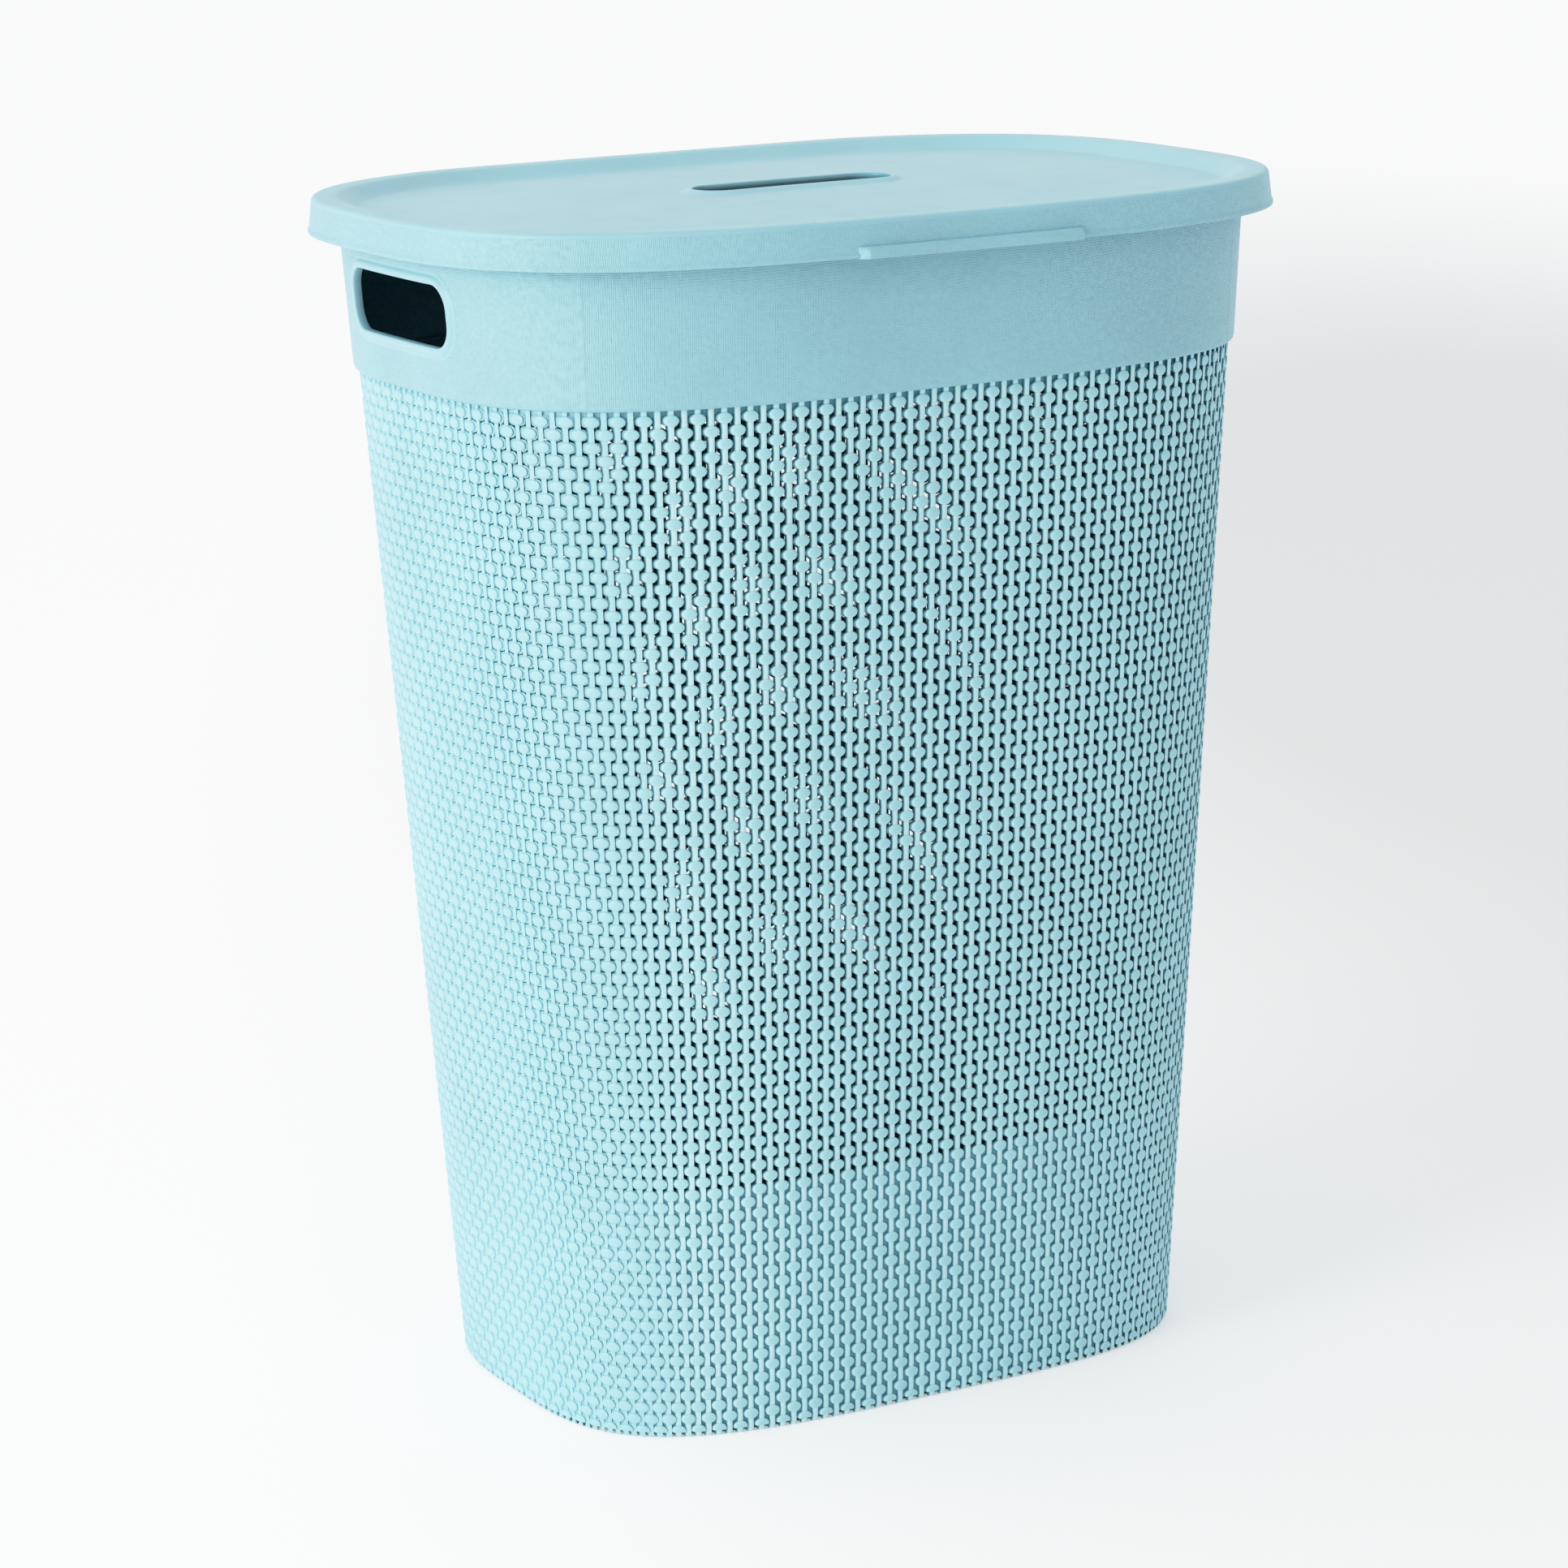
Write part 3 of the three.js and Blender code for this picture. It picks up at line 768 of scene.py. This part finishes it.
def collar():
    """The smooth band with the rim flange at its top. A hair line stands proud where the mould parted."""
    seams = parting_columns()

    def surface(column, height, offset):
        at_seam = np.isclose(column[..., None], seams, atol=1e-6).any(-1)
        raised = at_seam & (offset >= COLLAR_STEP)
        return tub_point(column, height, offset + np.where(raised, SEAM_HEIGHT, 0.0))

    band = hoop("collar", surface, COLLAR_SECTION, collar_columns(), collar_plastic)
    path = rounded_path(HANDLE_LENGTH, HANDLE_HEIGHT, HANDLE_CORNER, corner_steps=8, side_steps=12)

    def across(points, end):
        x = np.full(len(points), (-HANDLE_CUT_REACH, HANDLE_CUT_REACH)[end])
        return np.column_stack([x, points[:, 0], points[:, 1] + HANDLE_CENTRE])

    cut_away(band, prism("handle_cutter", path(HANDLE_CUT_GROWTH), across))
    return band


def handle_frame(name, side):
    """The raised frame of a handle opening, as deep as the wall and a little more."""
    path = rounded_path(HANDLE_LENGTH, HANDLE_HEIGHT, HANDLE_CORNER, corner_steps=12, side_steps=40)
    rows = []
    for grow, proud in HANDLE_FRAME:
        y, z = path(grow).T
        z = z + HANDLE_CENTRE
        half_length, half_depth, power = oval_at(z)
        depth = np.abs(y) / (half_depth + COLLAR_STEP)
        x = (half_length + COLLAR_STEP) * (1 - depth ** power) ** (1 / power)
        rows.append(np.column_stack([side * (x + proud), y, z]))
    triangles = grid_triangles(len(rows), len(rows[0]), True, True)
    return mesh_piece(name, np.concatenate(rows), triangles, frame_plastic)


# ---- The lid ----

def panel_height(share):
    """The crowned panel's top at a share of the way out to its edge."""
    return PANEL_EDGE + PANEL_CROWN * (1 - share ** 2)


def lid_shell():
    """The whole lid as one moulding: skirt with its lip, raised rim, sloping inner side and crowned panel."""
    shares = np.array(PANEL_SHARES)
    under = [(share, -PANEL_INSET, panel_height(share) - PANEL_THICKNESS) for share in shares]
    top = [(share, -PANEL_INSET, panel_height(share)) for share in shares[::-1]]
    rings = under + [(1.0, offset, height) for offset, height in SKIRT_AND_RIM] + top
    columns = np.arange(0, COLUMNS, COLUMN_STEP)
    skin = [lid_point(columns, offset, height, share) for share, offset, height in rings]
    centres = [np.array([[0, 0, panel_height(0) - thickness]]) for thickness in (PANEL_THICKNESS, 0)]
    points = np.concatenate([centres[0], *skin, centres[1]])
    shell = mesh_piece("lid_shell", points, stack_triangles(len(rings), len(columns)), lid_plastic)
    path = rounded_path(SLOT_LENGTH, SLOT_WIDTH, SLOT_WIDTH / 2, corner_steps=12, side_steps=10)

    def through(points, end):
        return np.column_stack([points, np.full(len(points), SLOT_CUT_ENDS[end])])

    cut_away(shell, prism("slot_cutter", path(SLOT_CUT_GROWTH), through))
    line_the_skirt(shell.data)
    return shell


def line_the_skirt(mesh):
    """Gives the outer side of the skirt its linen texture. The rest of the lid is smooth."""
    mesh.materials.append(skirt_plastic)
    centres = np.zeros(3 * len(mesh.polygons))
    normals = np.zeros(3 * len(mesh.polygons))
    mesh.polygons.foreach_get("center", centres)
    mesh.polygons.foreach_get("normal", normals)
    from_axis = centres.reshape(-1, 3) - AXIS
    outward = (from_axis[:, :2] * normals.reshape(-1, 3)[:, :2]).sum(1)
    linen = (outward > SKIRT_FACING) & (from_axis[:, 2] < SKIRT_TOP * MM)
    mesh.polygons.foreach_set("material_index", linen.astype(np.int32))


def slot_bead():
    """The raised bead round the hand slot, as deep as a finger's grip."""
    path = rounded_path(SLOT_LENGTH, SLOT_WIDTH, SLOT_WIDTH / 2, corner_steps=24, side_steps=24)
    half_length, half_depth, _ = SHOULDER_OVAL
    rows = []
    for grow, proud in SLOT_BEAD:
        x, y = path(grow).T
        share = np.hypot(x / half_length, y / half_depth)
        rows.append(np.column_stack([x, y, panel_height(share) + proud]))
    triangles = grid_triangles(len(rows), len(rows[0]), True, True)
    return mesh_piece("slot_bead", np.concatenate(rows), triangles, slot_plastic)


def lifting_tab():
    """The ledge below the front of the skirt. Its ends are chamfered back to the skirt's face."""
    across = np.array(TAB_END_STEPS)
    shrink = np.interp(across, [0, TAB_CHAMFER], [0.0, 1.0]) ** TAB_CHAMFER_POWER
    middle = np.linspace(-1, 1, TAB_MIDDLE_STEPS + 1)[1:-1] * (TAB_HALF_LENGTH - TAB_MIDDLE_INSET)
    xs = np.concatenate([-TAB_HALF_LENGTH + across, middle, (TAB_HALF_LENGTH - across)[::-1]])
    fullness = np.concatenate([shrink, np.ones(len(middle)), shrink[::-1]])
    front_x = lid_point(FRONT_COLUMNS, 0.0, LID_TOP)[:, 0]
    offset, height = np.array(TAB_SECTION).T
    rings = []
    for x, full in zip(xs, fullness):
        column = np.interp(x, front_x, FRONT_COLUMNS)
        proud = np.where(offset < TAB_ROOT, offset, TAB_ROOT + (offset - TAB_ROOT) * full)
        rings.append(lid_point(column, proud, height))
    ends = [rings[0].mean(0, keepdims=True), rings[-1].mean(0, keepdims=True)]
    points = np.concatenate([ends[0], *rings, ends[1]])
    triangles = stack_triangles(len(rings), len(TAB_SECTION))
    return mesh_piece("lifting_tab_ledge", points, triangles, skirt_plastic)


# ---- Putting it together ----

for sector in range(WEAVE_SECTORS):
    finish_piece(weave_sector(sector), "tub", "woven_plastic", "woven_wall")
finish_piece(backing_sheet(), "tub", "woven_plastic", "woven_wall")
finish_piece(collar_hem(), "tub", "woven_plastic", "woven_wall")
finish_piece(collar(), "tub", "tub_plastic", "collar_band", "tub_rim")
finish_piece(handle_frame("handle_frame_left", -1), "tub", "tub_plastic", "handle_bezel_left")
finish_piece(handle_frame("handle_frame_right", 1), "tub", "tub_plastic", "handle_bezel_right")
finish_piece(lid_shell(), "lid", "lid_plastic", "lid_panel", "lid_rim", "lid_skirt")
finish_piece(slot_bead(), "lid", "lid_plastic", "slot_bezel")
finish_piece(lifting_tab(), "lid", "lid_plastic", "lifting_tab")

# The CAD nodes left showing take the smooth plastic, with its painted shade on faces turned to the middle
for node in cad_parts.values():
    if not node.hide_render:
        node.data.materials.clear()
        node.data.materials.append(smooth_plastic)


# ---- Floor, light and camera ----

def pale_floor():
    """A wide white floor with a painted glow: it gives off light of its own, though it is no lamp, in place
    of a lit studio sweep.
    """
    bpy.ops.mesh.primitive_plane_add(size=FLOOR_SIZE, location=(0, 0, 0))
    floor = bpy.context.object
    floor.name = "floor"
    material = bpy.data.materials.new("floor")
    material.use_nodes = True
    tree = material.node_tree
    shader = tree.nodes["Principled BSDF"]
    shader.inputs["Base Color"].default_value = FLOOR_COLOUR
    shader.inputs["Roughness"].default_value = 0.7
    shader.inputs["Specular IOR Level"].default_value = 0.2
    place = tree.nodes.new("ShaderNodeMapping")
    place.vector_type = "TEXTURE"
    place.inputs["Location"].default_value = DIM_CENTRE
    place.inputs["Rotation"].default_value = (0, 0, DIM_TURN)
    place.inputs["Scale"].default_value = DIM_SIZE
    tree.links.new(tree.nodes.new("ShaderNodeTexCoord").outputs["Object"], place.inputs["Vector"])
    away = vector_maths(tree, "LENGTH", place.outputs["Vector"], result="Value")
    glow = spread(tree, away, DIM_FADE, (0.0, FLOOR_GLOW))
    front = spread(tree, split(tree, place.outputs["Vector"])["Y"], FRONT_FADE, (FRONT_SHARE, 1.0))
    shader.inputs["Emission Color"].default_value = (1, 1, 1, 1)
    tree.links.new(maths(tree, "MULTIPLY", glow, front), shader.inputs["Emission Strength"])
    floor.data.materials.append(material)


def soft_light(name, azimuth, elevation, distance, size, power, tint):
    """A soft box aimed at the middle of the hamper."""
    light = bpy.data.lights.new(name, "AREA")
    light.shape = "RECTANGLE"
    light.size, light.size_y = size
    light.energy = power
    light.color = tint
    lamp = bpy.data.objects.new(name, light)
    bpy.context.scene.collection.objects.link(lamp)
    turn, rise = math.radians(azimuth), math.radians(elevation)
    back = Vector((math.sin(turn) * math.cos(rise), -math.cos(turn) * math.cos(rise), math.sin(rise)))
    lamp.location = LIGHT_AIM + back * distance
    lamp.rotation_euler = back.to_track_quat("Z", "Y").to_euler()


def pale_sky():
    """A white sky of even strength, dimmed low down towards the front right."""
    world = bpy.data.worlds.new("studio")
    world.use_nodes = True
    tree = world.node_tree
    background = tree.nodes["Background"]
    background.inputs["Color"].default_value = SKY_TINT
    direction = tree.nodes.new("ShaderNodeTexCoord").outputs["Generated"]
    towards = vector_maths(tree, "DOT_PRODUCT", direction, SKY_DIM_SIDE, result="Value")
    strength = spread(tree, towards, SKY_FADE, (SKY_STRENGTH, SKY_STRENGTH * SKY_DIMMEST))
    tree.links.new(strength, background.inputs["Strength"])
    bpy.context.scene.world = world


def grade():
    """Rolls the brightest tones off gently, so that the lit plastic stays pale and doesn't burn out."""
    view = bpy.context.scene.view_settings
    view.view_transform = "Standard"
    view.use_curve_mapping = True
    mapping = view.curve_mapping
    mapping.white_level = (GRADE_WHITE, GRADE_WHITE, GRADE_WHITE)
    curve = mapping.curves[COMBINED_CURVE]
    curve.points[0].location = GRADE[0]
    curve.points[-1].location = (1.0, GRADE[-1][1])
    for before, after in GRADE[1:-1]:
        curve.points.new(before / GRADE_WHITE, after)
    mapping.update()


def camera():
    """Looks at the middle of the tub from the front left, a little above it."""
    turn, rise = CAMERA_AZIMUTH, CAMERA_ELEVATION
    ahead = Vector((-math.sin(turn) * math.cos(rise), math.cos(turn) * math.cos(rise), -math.sin(rise)))
    middle = Vector((0, AXIS[1], LID_TOP * MM / 2))
    level = ahead.cross(Vector((0, 0, 1))).normalized()
    upright = level.cross(ahead)
    right = math.cos(CAMERA_ROLL) * level + math.sin(CAMERA_ROLL) * upright
    up = math.cos(CAMERA_ROLL) * upright - math.sin(CAMERA_ROLL) * level
    aim = (ahead + CAMERA_AIM[0] * right + CAMERA_AIM[1] * up).normalized()
    right = (right - right.dot(aim) * aim).normalized()
    up = right.cross(aim)
    data = bpy.data.cameras.new("camera")
    data.lens = CAMERA_LENS
    data.sensor_width = CAMERA_SENSOR
    data.clip_end = CAMERA_REACH
    seen_from = bpy.data.objects.new("camera", data)
    bpy.context.scene.collection.objects.link(seen_from)
    place = Matrix((right, up, -aim)).transposed().to_4x4()
    place.translation = middle - ahead * CAMERA_DISTANCE
    seen_from.matrix_world = place
    bpy.context.scene.camera = seen_from


pale_floor()
pale_sky()
soft_light("key", azimuth=-80, elevation=15, distance=5.0, size=(2.0, 2.0), power=140, tint=(1.0, 0.95, 0.89))
camera()
grade()
